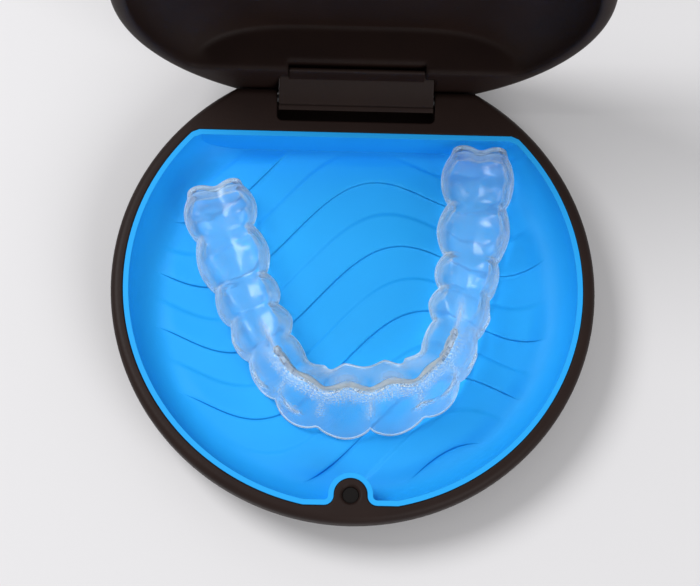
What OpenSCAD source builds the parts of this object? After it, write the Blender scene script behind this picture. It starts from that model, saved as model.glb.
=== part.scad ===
// Clear dental aligner tray in its round hinged pocket case.
// Origin: centre of the base's flat underside. +Z up, +Y towards the hinge, +X to the right.
// The lid is drawn standing open, the way the case is left while the tray lies in it.

/* [Case] */
// Outside diameter of both shells at their girth
case_d = 86; // [85:0.5:100]
// Height of the base from its underside to its rim
base_h = 11; // [10.6:0.2:15]
// Height of the lid from its rim to its top
lid_h = 11; // [10.6:0.2:15]
// Radius that rounds the base's underside and the lid's top into the sides
side_r = 9; // [6:0.25:9]
// Radius of the rounded outer edge at each rim
rim_r = 1.4; // [0.6:0.1:1.5]
// Depth of the slice that the flat back takes off the round case
back_slice = 5.7; // [4.5:0.1:6.2]
// How much is taken off the two upright corners beside the flat back
back_blunt = 0.15; // [0.05:0.05:0.4]
// Gap between the two rims when the lid is shut
part_gap = 0.3; // [0.2:0.05:0.5]
// Angle from shut to the open stop
open_angle = 92.7; // [90:0.1:96]

/* [Liner] */
// Width of the base's rim outside the liner
rim_w = 2.25; // [1.8:0.05:3]
// Width of the base's deck between the flat back and the liner
deck_w = 8.65; // [8.2:0.05:9.5]
// Width of the base's rim at the flattened front
front_rim_w = 3.1; // [2.6:0.05:3.6]
// How much is taken off the liner's two back corners
liner_blunt = 0.3; // [0.1:0.05:0.6]
// Width of the lip that shows round the edge
lip_w = 0.95; // [0.7:0.05:1.3]
// Depth from the lip to the liner's floor
liner_depth = 7.4; // [6:0.1:7.8]
// Thickness of the liner's floor
liner_t = 1.2; // [0.8:0.05:1.4]
// Width of the curved side between the lip and the floor, seen from above
liner_bowl_w = 6; // [4:0.25:6.5]
// Clearance all round the liner in its recess
liner_gap = 0.1; // [0.05:0.05:0.2]

/* [Ripples] */
// Height of the raised wavy bands on the liner's floor
ripple_h = 0.4; // [0.2:0.05:0.8]
// Distance from one band edge to the next
ripple_pitch = 6.8; // [4:0.1:9]
// Height of the waves, seen from above
ripple_amp = 6; // [2:0.25:8]
// Length of one wave
ripple_wave = 48; // [40:1:80]
// How steeply the bands climb to the right
ripple_slope = 0.32; // [0:0.02:0.5]

/* [Lid] */
// Width of the lid's rim round its hollow
lid_rim_w = 2.8; // [2.2:0.1:4]
// Width of the lid's deck between the flat back and the straight wall of its hollow
lid_deck_w = 10; // [9.7:0.1:11]
// Depth of the lid's hollow
lid_depth = 8.8; // [7:0.1:9]
// Width of the curved side of the lid's hollow, seen from above
lid_bowl_w = 12; // [6:0.25:14]
// How much is taken off the two back corners of the lid's hollow
lid_blunt = 0.4; // [0.1:0.05:0.8]

/* [Closure] */
// Distance from the girth of the case in to the magnets
magnet_inset = 5; // [4.6:0.1:6]
// Diameter of a disc magnet
magnet_d = 2.7; // [2.2:0.1:3.2]
// Thickness of a disc magnet
magnet_h = 2; // [1.5:0.1:3]
// Depth of a magnet's face below the rim
magnet_sink = 0.6; // [0.4:0.1:1]
// Clearance round a magnet in its hole
magnet_gap = 0.1; // [0.05:0.05:0.2]
// Chamfer at the mouth of a magnet's hole
hole_chamfer = 0.4; // [0.1:0.05:0.5]
// Wall of the boss round a magnet's hole
boss_wall = 1.4; // [1:0.05:1.8]
// Radius of the flares at the foot of a boss
boss_flare_r = 1.8; // [1.4:0.1:2.4]

/* [Hinge] */
// Radius of the rolled back edge of the base, whose centre is the hinge axis
roll_r = 1.8; // [1.6:0.1:2.1]
// Width of the knuckle that joins the lid to the pin
knuckle_w = 28; // [26:0.5:30]
// Clearance at each end of the knuckle in its pocket
knuckle_gap = 0.3; // [0.2:0.05:0.5]
// Length of the pocket in the base's deck, in from the flat back
pocket_len = 6.55; // [6.4:0.05:6.8]
// Depth of the pocket below the rim
pocket_depth = 5.3; // [5:0.1:6]
// Radius of the pocket's two front corners
pocket_corner_r = 1; // [0.5:0.1:2]
// Distance from the flat back in to the upper edge of the knuckle's dished face, lid shut
face_top_in = 7.1; // [6.9:0.05:7.4]
// Distance from the flat back in to the lower edge of the dished face, lid shut
face_low_in = 3.5; // [3.2:0.05:3.7]
// Depth of that lower edge below the base's rim, lid shut
face_drop = 4.6; // [4.2:0.05:4.8]
// Depth of the dish in the knuckle's face
dish = 0.45; // [0.3:0.05:0.6]
// Height of the knuckle's body inside the lid
knuckle_seat_h = 3; // [2:0.1:4]
// Clearance round the knuckle's body in the lid
seat_gap = 0.05; // [0.02:0.01:0.1]
// Width of the knuckle's tongue
tongue_w = 24.4; // [16:0.2:25]
// Thickness of the tongue
tongue_t = 0.9; // [0.6:0.05:1.2]
// Length of the tongue beyond the knuckle's face
tongue_len = 2.4; // [1.6:0.05:2.5]
// Height of the slot in the lid that takes the tongue
slot_h = 1.75; // [1.4:0.05:2.4]
// Clearance at each end of the tongue in the slot
slot_gap = 0.2; // [0.1:0.05:0.4]
// Diameter of the hinge pin
pin_d = 1.8; // [1.2:0.1:2]
// Length of pin held in the base at each end
pin_grip = 3.5; // [2:0.1:4]
// Radial clearance of the pin in the knuckle
pin_run = 0.05; // [0.02:0.01:0.08]
// Radial clearance of the pin in the base
pin_hold = 0.01; // [0.01:0.005:0.02]

/* [Tray] */
// Wall of the formed sheet
tray_t = 0.8; // [0.6:0.05:1]
// Room at each side between the molars and the edge of the liner's flat floor, for a tray in its middle
tray_room = 3; // [2.5:0.1:5]
// Depth of the dental arch
arch_depth = 42.7; // [38:0.1:43]
// How squarely the arch bends: 2 is a parabola
arch_power = 3.5; // [2.5:0.1:4]
// Width of the left teeth along the arch, as a share of their drawn width
left_teeth = 0.945; // [0.9:0.005:1]
// Width of the right teeth along the arch, as a share of their drawn width
right_teeth = 0.975; // [0.9:0.005:1]
// Length of the last left molar that the sheet covers
left_end_w = 8.4; // [6:0.1:10]
// Length of the last right molar that the sheet covers
right_end_w = 9.8; // [6:0.1:10]
// Share of its width that a tooth loses on the outside where it meets the next
outer_pinch = 0.23; // [0.05:0.01:0.3]
// Share of its width that a tooth loses on the inside where it meets the next
inner_pinch = 0.31; // [0.05:0.01:0.35]
// Rise of the trimmed edge between two teeth
scallop = 1.5; // [0.5:0.1:2]
// Height of the molar cusps
cusp = 0.45; // [0.2:0.05:0.6]
// How far the front of the arch lies to the right of the case's centre
tray_x = 2.9; // [2:0.1:3.5]
// How far the front of the arch lies in front of the case's centre
tray_front = 20.1; // [19.5:0.1:22]
// Turn of the tray in the case
tray_turn = 6; // [4:0.5:8]
// Gap between the tray's edge and the ripples that it lies on
tray_gap = 0.4; // [0.3:0.05:0.6]

/* [Hidden] */
$fn = 96;

shell_color = "#2a2220";
liner_color = "#21a3f5";
metal_color = "#8f9092";
magnet_color = "#3a3836";
tray_color = "#dfeaf2";

case_r = case_d / 2;
over = 1;
far = 2 * case_d;
back_flat = case_r - back_slice;
hinge_y = back_flat - roll_r;
hinge_z = base_h - roll_r;
lid_rim_z = base_h + part_gap;
liner_r = case_r - rim_w;
liner_back = back_flat - deck_w;
liner_front = case_r - front_rim_w;
recess_r = liner_r + liner_gap;
recess_back = liner_back + liner_gap;
recess_front = liner_front + liner_gap;
recess_depth = liner_depth + liner_t + liner_gap;
floor_r = liner_r - lip_w - liner_bowl_w;
floor_z = base_h - liner_depth;
lid_hollow_r = case_r - lid_rim_w;
lid_wall_y = back_flat - lid_deck_w;
magnet_y = case_r - magnet_inset;
magnet_hole_d = magnet_d + 2 * magnet_gap;
boss_r = magnet_hole_d / 2 + boss_wall;
magnet_hole_depth = magnet_sink + magnet_h;
pocket_w = knuckle_w + 2 * knuckle_gap;
pocket_y = back_flat - pocket_len;
face_top_y = back_flat - face_top_in;
face_low_y = back_flat - face_low_in;
tongue_y = face_top_y - tongue_len;
pin_len = pocket_w + 2 * pin_grip;

// Steps in a curved side drawn as short straight lines
bowl_steps = 12;

// The ripples: edge number k runs across the floor as a wave, a little further along from one edge
// to the next, both as shares of a wave; edge 0 crosses the middle this far behind the centre
ripple_mid = 1.3;
ripple_start = 0.132;
ripple_drift = 0.048;
ripple_steps = 36;
ripple_count = 2 * ceil((floor_r * (1 + ripple_slope) + ripple_amp) / ripple_pitch / 2);

// One row for each tooth, from the front to the back, in hundredths of the arch's half width: its
// width along the arch, then points of the inside of its section as [distance out from the arch
// line, height over the tray's lowest edge]: outer edge, bulge and shoulder, groove, inner shoulder,
// bulge and edge
TEETH = [
  [34.2, [[23, 0], [14.4, 24.7], [5.3, 46.9], [2.5, 47.7], [-0.8, 46.1], [-12.3, 30.5], [-24.3, 16.5]]],
  [27.6, [[20.6, 0], [13.6, 23.9], [5.3, 44.4], [2.5, 45.3], [-0.8, 43.6], [-11.5, 28.8], [-19.8, 14.8]]],
  [31.3, [[18.1, 0], [14.4, 22.2], [6.2, 42], [1.6, 42.8], [-3.3, 41.2], [-14.8, 25.5], [-16, 10.7]]],
  [28.8, [[18.5, 0], [17.3, 18.9], [11.1, 37], [0, 34.2], [-12.8, 35.4], [-20.6, 19.8], [-18.9, 5.8]]],
  [28, [[19.8, 0], [19.3, 17.3], [13.2, 33.7], [0, 30.5], [-13.2, 32.9], [-20.6, 17.3], [-19.8, 3.7]]],
  [42.4, [[23, 0], [23.5, 15.6], [16.9, 30.9], [0, 25.9], [-16.5, 30], [-23.5, 15.6], [-22.6, 2.5]]],
  [40.3, [[22.6, 3.7], [23.5, 16], [17.3, 28.8], [0, 24.3], [-16.9, 28], [-23.9, 15.6], [-22.6, 3.3]]]
];

// The arch is as wide as the liner's floor allows, with room beside the widest molars
molar_out = max([for (tooth = TEETH, p = tooth[1]) p[0]]) / 100;
arch_half_w = (floor_r - tray_room - tray_t) / (1 + molar_out);
tooth_unit = arch_half_w / 100;
stations_per_tooth = 6;
arch_steps = 160;
arch_reach = 1.06;

// The last few millimetres of the sheet: how far its edge rises, how far round its sides curl in
// (1 would bring them together), how far the back wall reaches below the edge and how far its foot
// narrows at each side
end_run = 4.5;
end_rise = 1.9;
end_curl = 0.7;
end_wall_drop = 0.6;
end_wall_in = 0.3;

// How far the top of the sheet dips between two teeth, and how full a tooth's outline is: 1 swells
// evenly, less keeps the sides full and the necks narrow
tooth_dip = 0.7;
tooth_fullness = 0.7;

// Share of a rise of the trimmed edge that each point of the section takes part in
EDGE_LIFT = [1, 0.5, 0, 0, 0, 0.5, 1];

// What a flat back and its two blunted corners take off a round plan of radius r
module back_cut(r, back, blunt) {
  turn = acos(back / r) / 2;
  corner_in = back / cos(2 * turn) * cos(turn) - blunt;
  translate([-far / 2, back]) square([far, far]);
  for (side = [-1, 1]) rotate(side * turn) translate([-far / 2, corner_in]) square([far, far]);
}

// What a flattened front takes off a round plan
module front_cut(front) {
  translate([-far / 2, -front - far]) square([far, far]);
}

// Half section of a shell: rounded below, with a rounded rim edge
module shell_section(h) {
  square([case_r - side_r, h]);
  translate([0, side_r]) square([case_r, h - rim_r - side_r]);
  translate([0, side_r]) square([case_r - rim_r, h - side_r]);
  intersection() {
    translate([case_r - side_r, side_r]) circle(side_r);
    square([case_r, side_r]);
  }
  translate([case_r - rim_r, h - rim_r]) circle(rim_r);
}

// Outside of a shell, standing on its rounded face
module shell_form(h) {
  difference() {
    rotate_extrude() shell_section(h);
    translate([0, 0, -over]) linear_extrude(h + 2 * over) back_cut(case_r, back_flat, back_blunt);
  }
}

// Half section of a bowl that is open at height 0: a curved side down to a flat floor
module bowl_section(r, side_w, depth) {
  polygon([
    [0, over],
    [r, over],
    for (i = [0:bowl_steps]) [
      r - side_w + side_w * cos(90 * i / bowl_steps),
      -depth * sin(90 * i / bowl_steps)
    ],
    [0, -depth]
  ]);
}

// Solid that fills a bowl with a straight back wall
module bowl_form(r, side_w, depth, back, blunt, front) {
  difference() {
    rotate_extrude() bowl_section(r, side_w, depth);
    translate([0, 0, -depth - over]) linear_extrude(depth + 3 * over) {
      back_cut(r, back, blunt);
      front_cut(front);
    }
  }
}

// Plan of the magnet boss: a round end and two flares that run out into the rim
module boss_plan(grow, rim_front) {
  round_r = boss_r + grow;
  flare_r = boss_flare_r - grow;
  translate([0, -magnet_y]) circle(round_r);
  translate([-round_r, -case_r]) square([2 * round_r, case_r - magnet_y]);
  for (side = [0, 1]) mirror([side, 0]) difference() {
    translate([0, -case_r]) square([round_r + flare_r, case_r - rim_front + flare_r]);
    translate([round_r + flare_r, -rim_front + flare_r]) circle(flare_r);
  }
}

// Blind hole for a magnet, open at height 0 with a small chamfer
module magnet_hole() {
  translate([0, -magnet_y, -magnet_hole_depth]) {
    cylinder(d = magnet_hole_d, h = magnet_hole_depth + over);
    translate([0, 0, magnet_hole_depth - hole_chamfer])
      cylinder(d1 = magnet_hole_d, d2 = magnet_hole_d + 2 * hole_chamfer, h = hole_chamfer);
    translate([0, 0, magnet_hole_depth])
      cylinder(d = magnet_hole_d + 2 * hole_chamfer, h = over);
  }
}

// A disc magnet at the bottom of its hole
module magnet() {
  translate([0, -magnet_y, -magnet_hole_depth]) cylinder(d = magnet_d, h = magnet_h);
}

// Bar across the case: its section is drawn in the Y, Z plane
module across(width) {
  translate([-width / 2, 0, 0]) rotate([90, 0, 90]) linear_extrude(width) children();
}

// Round bar along the hinge axis
module axis_bar(d, from_x, to_x) {
  translate([from_x, hinge_y, hinge_z]) rotate([0, 90, 0]) cylinder(d = d, h = to_x - from_x);
}

// Swings what is drawn shut to the open stop
module swung_open() {
  translate([0, hinge_y, hinge_z]) rotate([-open_angle, 0, 0])
    translate([0, -hinge_y, -hinge_z]) children();
}

// Turns what is drawn as a base upside down on the rim of the base, to make the lid
module as_lid() {
  translate([0, 0, lid_rim_z + lid_h]) mirror([0, 0, 1]) children();
}

// Pocket in the base's deck that the knuckle turns in, open at the flat back
module hinge_pocket() {
  front_w = pocket_w - 2 * pocket_corner_r;
  translate([0, 0, base_h - pocket_depth]) linear_extrude(pocket_depth + over) {
    translate([-front_w / 2, pocket_y]) square([front_w, case_r]);
    translate([-pocket_w / 2, pocket_y + pocket_corner_r]) square([pocket_w, case_r]);
    for (x = [-1, 1] * front_w / 2)
      translate([x, pocket_y + pocket_corner_r]) circle(pocket_corner_r);
  }
}

// What is cut away to roll the base's back edge round the hinge axis
module back_edge_cut() {
  across(far) difference() {
    translate([hinge_y, hinge_z]) square([case_r, roll_r + over]);
    translate([hinge_y, hinge_z]) circle(roll_r);
  }
}

module base_shell() {
  color(shell_color) difference() {
    union() {
      difference() {
        shell_form(base_h);
        translate([0, 0, base_h])
          bowl_form(recess_r, liner_bowl_w + lip_w, recess_depth, recess_back, liner_blunt, recess_front);
      }
      intersection() {
        shell_form(base_h);
        translate([0, 0, base_h - recess_depth - over / 2])
          linear_extrude(recess_depth + over) boss_plan(0, recess_front);
      }
    }
    translate([0, 0, base_h]) magnet_hole();
    hinge_pocket();
    back_edge_cut();
    axis_bar(pin_d + 2 * pin_hold, -pin_len / 2, case_r);
  }
}

// Edge number k of the ripples at x
function ripple_y(k, x) =
  ripple_mid + k * ripple_pitch + ripple_slope * x
  + ripple_amp * sin(360 * (x / ripple_wave + ripple_start + k * ripple_drift));

// Raised bands between every other pair of ripple edges
module ripple_bands() {
  xs = [for (i = [0:ripple_steps]) floor_r * (2 * i / ripple_steps - 1)];
  for (k = [-ripple_count:2:ripple_count]) polygon(concat(
    [for (x = xs) [x, ripple_y(k, x)]],
    [for (i = [ripple_steps:-1:0]) [xs[i], ripple_y(k + 1, xs[i])]]
  ));
}

module base_liner() {
  inner_r = liner_r - lip_w;
  color(liner_color) translate([0, 0, base_h]) {
    difference() {
      intersection() {
        bowl_form(
          liner_r, liner_bowl_w + lip_w, liner_depth + liner_t,
          liner_back, liner_blunt, liner_front
        );
        translate([-far / 2, -far / 2, -far]) cube(far);
      }
      difference() {
        bowl_form(
          inner_r, liner_bowl_w, liner_depth,
          liner_back - lip_w, liner_blunt, liner_front - lip_w
        );
        translate([0, 0, -liner_depth - 2 * over])
          linear_extrude(liner_depth + 4 * over) boss_plan(liner_gap + lip_w, liner_front - lip_w);
      }
      translate([0, 0, -liner_depth - liner_t - over])
        linear_extrude(liner_depth + liner_t + 2 * over) boss_plan(liner_gap, liner_front);
    }
    translate([0, 0, -liner_depth - liner_t / 2]) linear_extrude(liner_t / 2 + ripple_h) difference() {
      intersection() {
        ripple_bands();
        circle(floor_r);
      }
      back_cut(floor_r, liner_back - 2 * lip_w, liner_blunt);
    }
  }
}

module base_magnet() {
  color(magnet_color) translate([0, 0, base_h]) magnet();
}

module hinge_pin() {
  color(metal_color) axis_bar(pin_d, -pin_len / 2, pin_len / 2);
}

module lid_shell() {
  seat_w = knuckle_w + 2 * seat_gap;
  seat_front = face_top_y - seat_gap;
  slot_w = tongue_w + 2 * slot_gap;
  color(shell_color) swung_open() as_lid() difference() {
    union() {
      difference() {
        shell_form(lid_h);
        translate([0, 0, lid_h])
          bowl_form(lid_hollow_r, lid_bowl_w, lid_depth, lid_wall_y, lid_blunt, lid_hollow_r);
      }
      intersection() {
        shell_form(lid_h);
        translate([0, 0, lid_h - lid_depth - over / 2])
          linear_extrude(lid_depth + over) boss_plan(0, lid_hollow_r);
      }
    }
    translate([0, 0, lid_h]) magnet_hole();
    translate([-seat_w / 2, seat_front, lid_h - knuckle_seat_h]) cube([seat_w, case_r, case_r]);
    translate([-slot_w / 2, lid_wall_y - over, lid_h - slot_h])
      cube([slot_w, seat_front - lid_wall_y + 2 * over, case_r]);
  }
}

module lid_magnet() {
  color(magnet_color) swung_open() as_lid() translate([0, 0, lid_h]) magnet();
}

// Section of the knuckle, lid shut: a body in the lid, a dished front face and a barrel on the pin
module knuckle_section() {
  top = [face_top_y, lid_rim_z + tongue_t];
  low = [face_low_y, base_h - face_drop];
  chord = norm(low - top);
  along = (low - top) / chord;
  inward = [-along.y, along.x];
  dish_r = (chord * chord / 4 + dish * dish) / (2 * dish);
  difference() {
    polygon([
      top,
      low,
      [hinge_y, hinge_z - roll_r],
      [back_flat, hinge_z],
      [back_flat, lid_rim_z + knuckle_seat_h],
      [face_top_y, lid_rim_z + knuckle_seat_h]
    ]);
    translate((top + low) / 2 - inward * (dish_r - dish)) circle(dish_r);
  }
  translate([hinge_y, hinge_z]) circle(roll_r);
}

// Section of the tongue, lid shut: a flat strip with a rounded free edge
module tongue_section() {
  tip_r = tongue_t / 2;
  translate([tongue_y + tip_r, lid_rim_z]) square([face_top_y + over - tongue_y - tip_r, tongue_t]);
  translate([tongue_y + tip_r, lid_rim_z + tip_r]) circle(tip_r);
}

module hinge_knuckle() {
  color(shell_color) swung_open() difference() {
    union() {
      across(knuckle_w) knuckle_section();
      across(tongue_w) tongue_section();
    }
    axis_bar(pin_d + 2 * pin_run, -knuckle_w, knuckle_w);
  }
}

// Middle line of the teeth: y for a place x across the arch
function arch_y(x) = arch_depth * pow(abs(x) / arch_half_w, arch_power);
function arch_x(i) = arch_reach * arch_half_w * sqrt(i / arch_steps);

// Length along one side of the arch from the front, with the x that it reaches
ARCH = [
  for (
    i = 0, run = 0;
    i <= arch_steps;
    i = i + 1,
    run = run + norm([arch_x(i) - arch_x(i - 1), arch_y(arch_x(i)) - arch_y(arch_x(i - 1))])
  ) [run, arch_x(i)]
];

function tooth_width(i) = tooth_unit * TEETH[i][0];
function sum_to(n) = n == 0 ? 0 : tooth_width(n - 1) + sum_to(n - 1);
teeth_ends = [for (i = [0:len(TEETH)]) sum_to(i)];
teeth_mids = [for (i = [0:len(TEETH) - 1]) teeth_ends[i] + tooth_width(i) / 2];
side_len = teeth_ends[len(TEETH)];

// Length along the arch for a length along the drawn teeth
function covered(s) = let (
  last = len(TEETH) - 1,
  whole = teeth_ends[last],
  beyond = max(0, abs(s) - whole) * (s < 0 ? left_end_w : right_end_w) / tooth_width(last)
) sign(s) * (s < 0 ? left_teeth : right_teeth) * (min(abs(s), whole) + beyond);

// Place and outward direction on the arch at a signed length from the front
function arch_point(s) = let (x = lookup(abs(s), ARCH)) [sign(s) * x, arch_y(x)];
function arch_out(s) = let (
  a = arch_point(s - tray_t / 4),
  b = arch_point(s + tray_t / 4),
  d = (b - a) / norm(b - a)
) [d.y, -d.x];

// Which tooth a length falls in, and how far along that tooth it is
function tooth_at(s) = max([for (i = [0:len(TEETH) - 1]) abs(s) >= teeth_ends[i] ? i : 0]);
function tooth_phase(s) = let (i = tooth_at(s)) min(1, (abs(s) - teeth_ends[i]) / tooth_width(i));

// One value of the section, carried smoothly from tooth to tooth
function blend(s, key, part) =
  lookup(abs(s), [for (i = [0:len(TEETH) - 1]) [teeth_mids[i], tooth_unit * TEETH[i][1][key][part]]]);

// Key points of the section at a length along the teeth
function tray_keys(s) = let (
  phase = tooth_phase(s),
  is_last_half = abs(s) > teeth_mids[len(TEETH) - 1],
  swell = is_last_half ? 1 : pow(sin(180 * phase), tooth_fullness),
  end = max(0, abs(s) - side_len + end_run) / end_run,
  curl = sqrt(1 - pow(end_curl * end, 2)),
  molar = lookup(abs(s), [[teeth_mids[3], 0], [teeth_mids[5], 1]]),
  cusps = cusp * molar * -cos(720 * phase),
  dip = tooth_dip * (1 - swell)
) [
  for (key = [0:6]) let (
    out = blend(s, key, 0),
    pinch = (out > 0 ? outer_pinch : inner_pinch) * (1 - swell),
    is_shoulder = (key == 2 || key == 4) ? 1 : 0,
    is_top = (key >= 2 && key <= 4) ? 1 : 0
  ) [
    out * (1 - pinch) * curl,
    blend(s, key, 1) + EDGE_LIFT[key] * (scallop * (1 - swell) + end_rise * end * end)
      + is_shoulder * cusps - is_top * dip
  ]
];

// A smooth curve through the key points
function spline(p, i, t) = let (
  a = p[max(i - 1, 0)],
  b = p[i],
  c = p[i + 1],
  d = p[min(i + 2, len(p) - 1)]
) 0.5 * (2 * b + (c - a) * t + (2 * a - 5 * b + 4 * c - d) * t * t + (3 * b - a - 3 * c + d) * t * t * t);
function smooth_section(p) = [
  for (i = [0:len(p) - 2], t = [0, 0.5]) spline(p, i, t),
  p[len(p) - 1]
];

// The section moved outwards by the wall
function outset(p, t) = [
  for (i = [0:len(p) - 1]) let (
    d = p[min(i + 1, len(p) - 1)] - p[max(i - 1, 0)],
    n = [d.y, -d.x] / norm(d)
  ) p[i] + n * t
];

// Lengths along the arch where sections stand
half_stations = stations_per_tooth * len(TEETH);
function station(i) = let (
  tooth = min(floor(i / stations_per_tooth), len(TEETH) - 1),
  part = i / stations_per_tooth - tooth
) teeth_ends[tooth] + part * tooth_width(tooth);

// A section point in space
function tray_at(s, p) = let (at = arch_point(s) + p[0] * arch_out(s)) [at.x, at.y, p[1]];

// Distance out at a height z on the straight line from point b on through point a
function line_on(a, b, z) = a[0] + (a[0] - b[0]) * (a[1] - z) / (b[1] - a[1]);

// One skin of the sheet: a ring of points for each station, and one more at each end, below the
// trimmed edge, that closes the back wall of the last molar
function skin_ring(s, wall, at, lowered) = let (
  p = smooth_section(tray_keys(s)),
  moved = wall > 0 ? outset(p, wall) : p,
  last = len(p) - 1,
  foot = min(p[0][1], p[last][1]) - end_wall_drop,
  foot_out = line_on(moved[0], moved[1], foot) - end_wall_in,
  foot_in = line_on(moved[last], moved[last - 1], foot) + end_wall_in,
  step = (foot_in - foot_out) / last
) [for (c = [0:last]) tray_at(at, lowered ? [foot_out + c * step, foot] : moved[c])];
function skin(wall) = [
  for (i = [-half_stations - 1:half_stations + 1]) let (
    lowered = abs(i) > half_stations,
    s = sign(i) * station(min(abs(i), half_stations)),
    is_end = abs(i) >= half_stations
  ) skin_ring(s, wall, covered(s) + (is_end ? sign(i) * wall : 0), lowered)
];

module aligner_tray() {
  inner = skin(0);
  outer = skin(tray_t);
  rings = len(inner);
  wide = len(inner[0]);
  points = [for (set = [inner, outer], ring = set, p = ring) p];
  half = rings * wide;
  function at(skin, r, c) = skin * half + r * wide + c;
  faces = [
    for (r = [0:rings - 2], c = [0:wide - 2]) each [
      [at(0, r, c), at(0, r + 1, c), at(0, r, c + 1)],
      [at(0, r + 1, c), at(0, r + 1, c + 1), at(0, r, c + 1)],
      [at(1, r, c), at(1, r, c + 1), at(1, r + 1, c)],
      [at(1, r + 1, c), at(1, r, c + 1), at(1, r + 1, c + 1)]
    ],
    for (r = [0:rings - 2]) each [
      [at(0, r, 0), at(1, r, 0), at(0, r + 1, 0)],
      [at(1, r, 0), at(1, r + 1, 0), at(0, r + 1, 0)],
      [at(0, r, wide - 1), at(0, r + 1, wide - 1), at(1, r, wide - 1)],
      [at(1, r, wide - 1), at(0, r + 1, wide - 1), at(1, r + 1, wide - 1)]
    ],
    for (c = [0:wide - 2]) each [
      [at(0, 0, c), at(0, 0, c + 1), at(1, 0, c)],
      [at(1, 0, c), at(0, 0, c + 1), at(1, 0, c + 1)],
      [at(0, rings - 1, c), at(1, rings - 1, c), at(0, rings - 1, c + 1)],
      [at(1, rings - 1, c), at(1, rings - 1, c + 1), at(0, rings - 1, c + 1)]
    ]
  ];
  color(tray_color) translate([tray_x, -tray_front, floor_z + ripple_h + tray_gap])
    rotate([0, 0, tray_turn]) polyhedron(points, faces);
}

base_shell();
base_liner();
base_magnet();
hinge_pin();
lid_shell();
lid_magnet();
hinge_knuckle();
aligner_tray();
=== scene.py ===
# %% [markdown]
# # A clear aligner tray in its pocket case
#
# The object is a thin clear tray, formed over a set of teeth, lying in a round hinged case with a
# soft blue liner. The solids of every part come packed from the CAD step. This lesson loads them
# as a fixed frame and dresses them: smooth spun shells, a rippled liner, a finely toothed tray
# and a finish for each real material. Sizes are in millimetres until a piece is done.

# %% Load the frame
import math

import bmesh
import bpy
from mathutils import Matrix, Vector


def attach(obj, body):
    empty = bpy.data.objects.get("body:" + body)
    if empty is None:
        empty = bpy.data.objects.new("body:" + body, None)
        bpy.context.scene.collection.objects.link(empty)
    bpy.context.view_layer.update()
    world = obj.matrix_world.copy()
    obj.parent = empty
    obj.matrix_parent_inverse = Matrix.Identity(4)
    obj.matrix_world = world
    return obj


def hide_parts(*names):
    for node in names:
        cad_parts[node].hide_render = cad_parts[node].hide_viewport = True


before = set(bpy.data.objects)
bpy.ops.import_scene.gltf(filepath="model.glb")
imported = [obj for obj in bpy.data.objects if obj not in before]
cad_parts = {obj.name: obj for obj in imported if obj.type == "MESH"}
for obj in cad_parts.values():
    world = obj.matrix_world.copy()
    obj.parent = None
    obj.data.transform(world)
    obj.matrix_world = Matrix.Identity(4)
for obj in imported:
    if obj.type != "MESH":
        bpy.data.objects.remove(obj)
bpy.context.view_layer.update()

print("nodes:", sorted(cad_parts))

# %% [markdown]
# ## Camera
#
# The photograph looks steeply down at the open case from the front, turned a few degrees, with
# the case rolled a little in the frame. A Track To constraint would aim a camera but not roll it.
# So the camera is placed by those angles and by its distance from a point near the middle of the
# base's rim, and the picture has the same perspective.

# %% Camera
MM = 0.001
IMAGE_W = 700  # pixels
RIM_Z = 11.0
ELEVATION, AZIMUTH, ROLL = (math.radians(a) for a in (72.8, -5.02, 6.07))
DISTANCE = 431.06
TARGET = Vector((-0.61, -1.64, RIM_Z))
FOCAL_PX = 2436.52
SENSOR_W = 36.0
NEAR_CLIP = 0.01  # m

to_camera = Vector((
    math.sin(AZIMUTH) * math.cos(ELEVATION),
    -math.cos(AZIMUTH) * math.cos(ELEVATION),
    math.sin(ELEVATION),
))
level_right = Vector((math.cos(AZIMUTH), math.sin(AZIMUTH), 0))
level_up = to_camera.cross(level_right)
right = level_right * math.cos(ROLL) + level_up * math.sin(ROLL)
up = level_up * math.cos(ROLL) - level_right * math.sin(ROLL)

camera = bpy.data.objects.new("camera", bpy.data.cameras.new("camera"))
camera.data.sensor_width = SENSOR_W
camera.data.lens = FOCAL_PX * SENSOR_W / IMAGE_W
camera.data.clip_start = NEAR_CLIP
camera.matrix_world = Matrix.Translation((TARGET + to_camera * DISTANCE) * MM) @ Matrix(
    (right, up, to_camera)
).transposed().to_4x4()
bpy.context.scene.collection.objects.link(camera)
bpy.context.scene.camera = camera
bpy.context.scene.view_settings.view_transform = "Standard"
print(f"camera lens {camera.data.lens:.1f} mm")

# %% [markdown]
# ## Floor
#
# The case stands on a plain pale floor, one large face with a matte paper finish. A colour is
# written as the six hex digits that a picture editor shows, and a small function turns it into
# the linear values that shaders take. Two more add a node and fill its inputs in one call. Nodes
# could be set line by line instead, but this keeps each material of the lesson short.

# %% Floor
FLOOR_HALF = 2.0  # m


def srgb(code):
    """A colour written as six hex digits, as the linear values that shaders take."""
    parts = [int(code[i : i + 2], 16) / 255 for i in (1, 3, 5)]
    return [p / 12.92 if p <= 0.04045 else ((p + 0.055) / 1.055) ** 2.4 for p in parts] + [1.0]


def fill(node, inputs):
    """Fills inputs of a node, each with a value or, where a socket is given, with a link."""
    for name, value in inputs.items():
        if isinstance(value, bpy.types.NodeSocket):
            node.id_data.links.new(value, node.inputs[name])
        else:
            node.inputs[name].default_value = value


def add(tree, kind, settings=None, inputs=None):
    """Adds a node: settings are its options, and inputs are values or sockets to link."""
    node = tree.nodes.new(kind)
    for name, value in (settings or {}).items():
        setattr(node, name, value)
    fill(node, inputs or {})
    return node


def material(name):
    """A new material, with its node tree and its main shader."""
    made = bpy.data.materials.new(name)
    made.use_nodes = True
    return made, made.node_tree, made.node_tree.nodes["Principled BSDF"]


floor_finish, tree, shader = material("pale_studio_paper")
fill(shader, {"Base Color": srgb("#DDDCDE"), "Roughness": 0.9})

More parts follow.
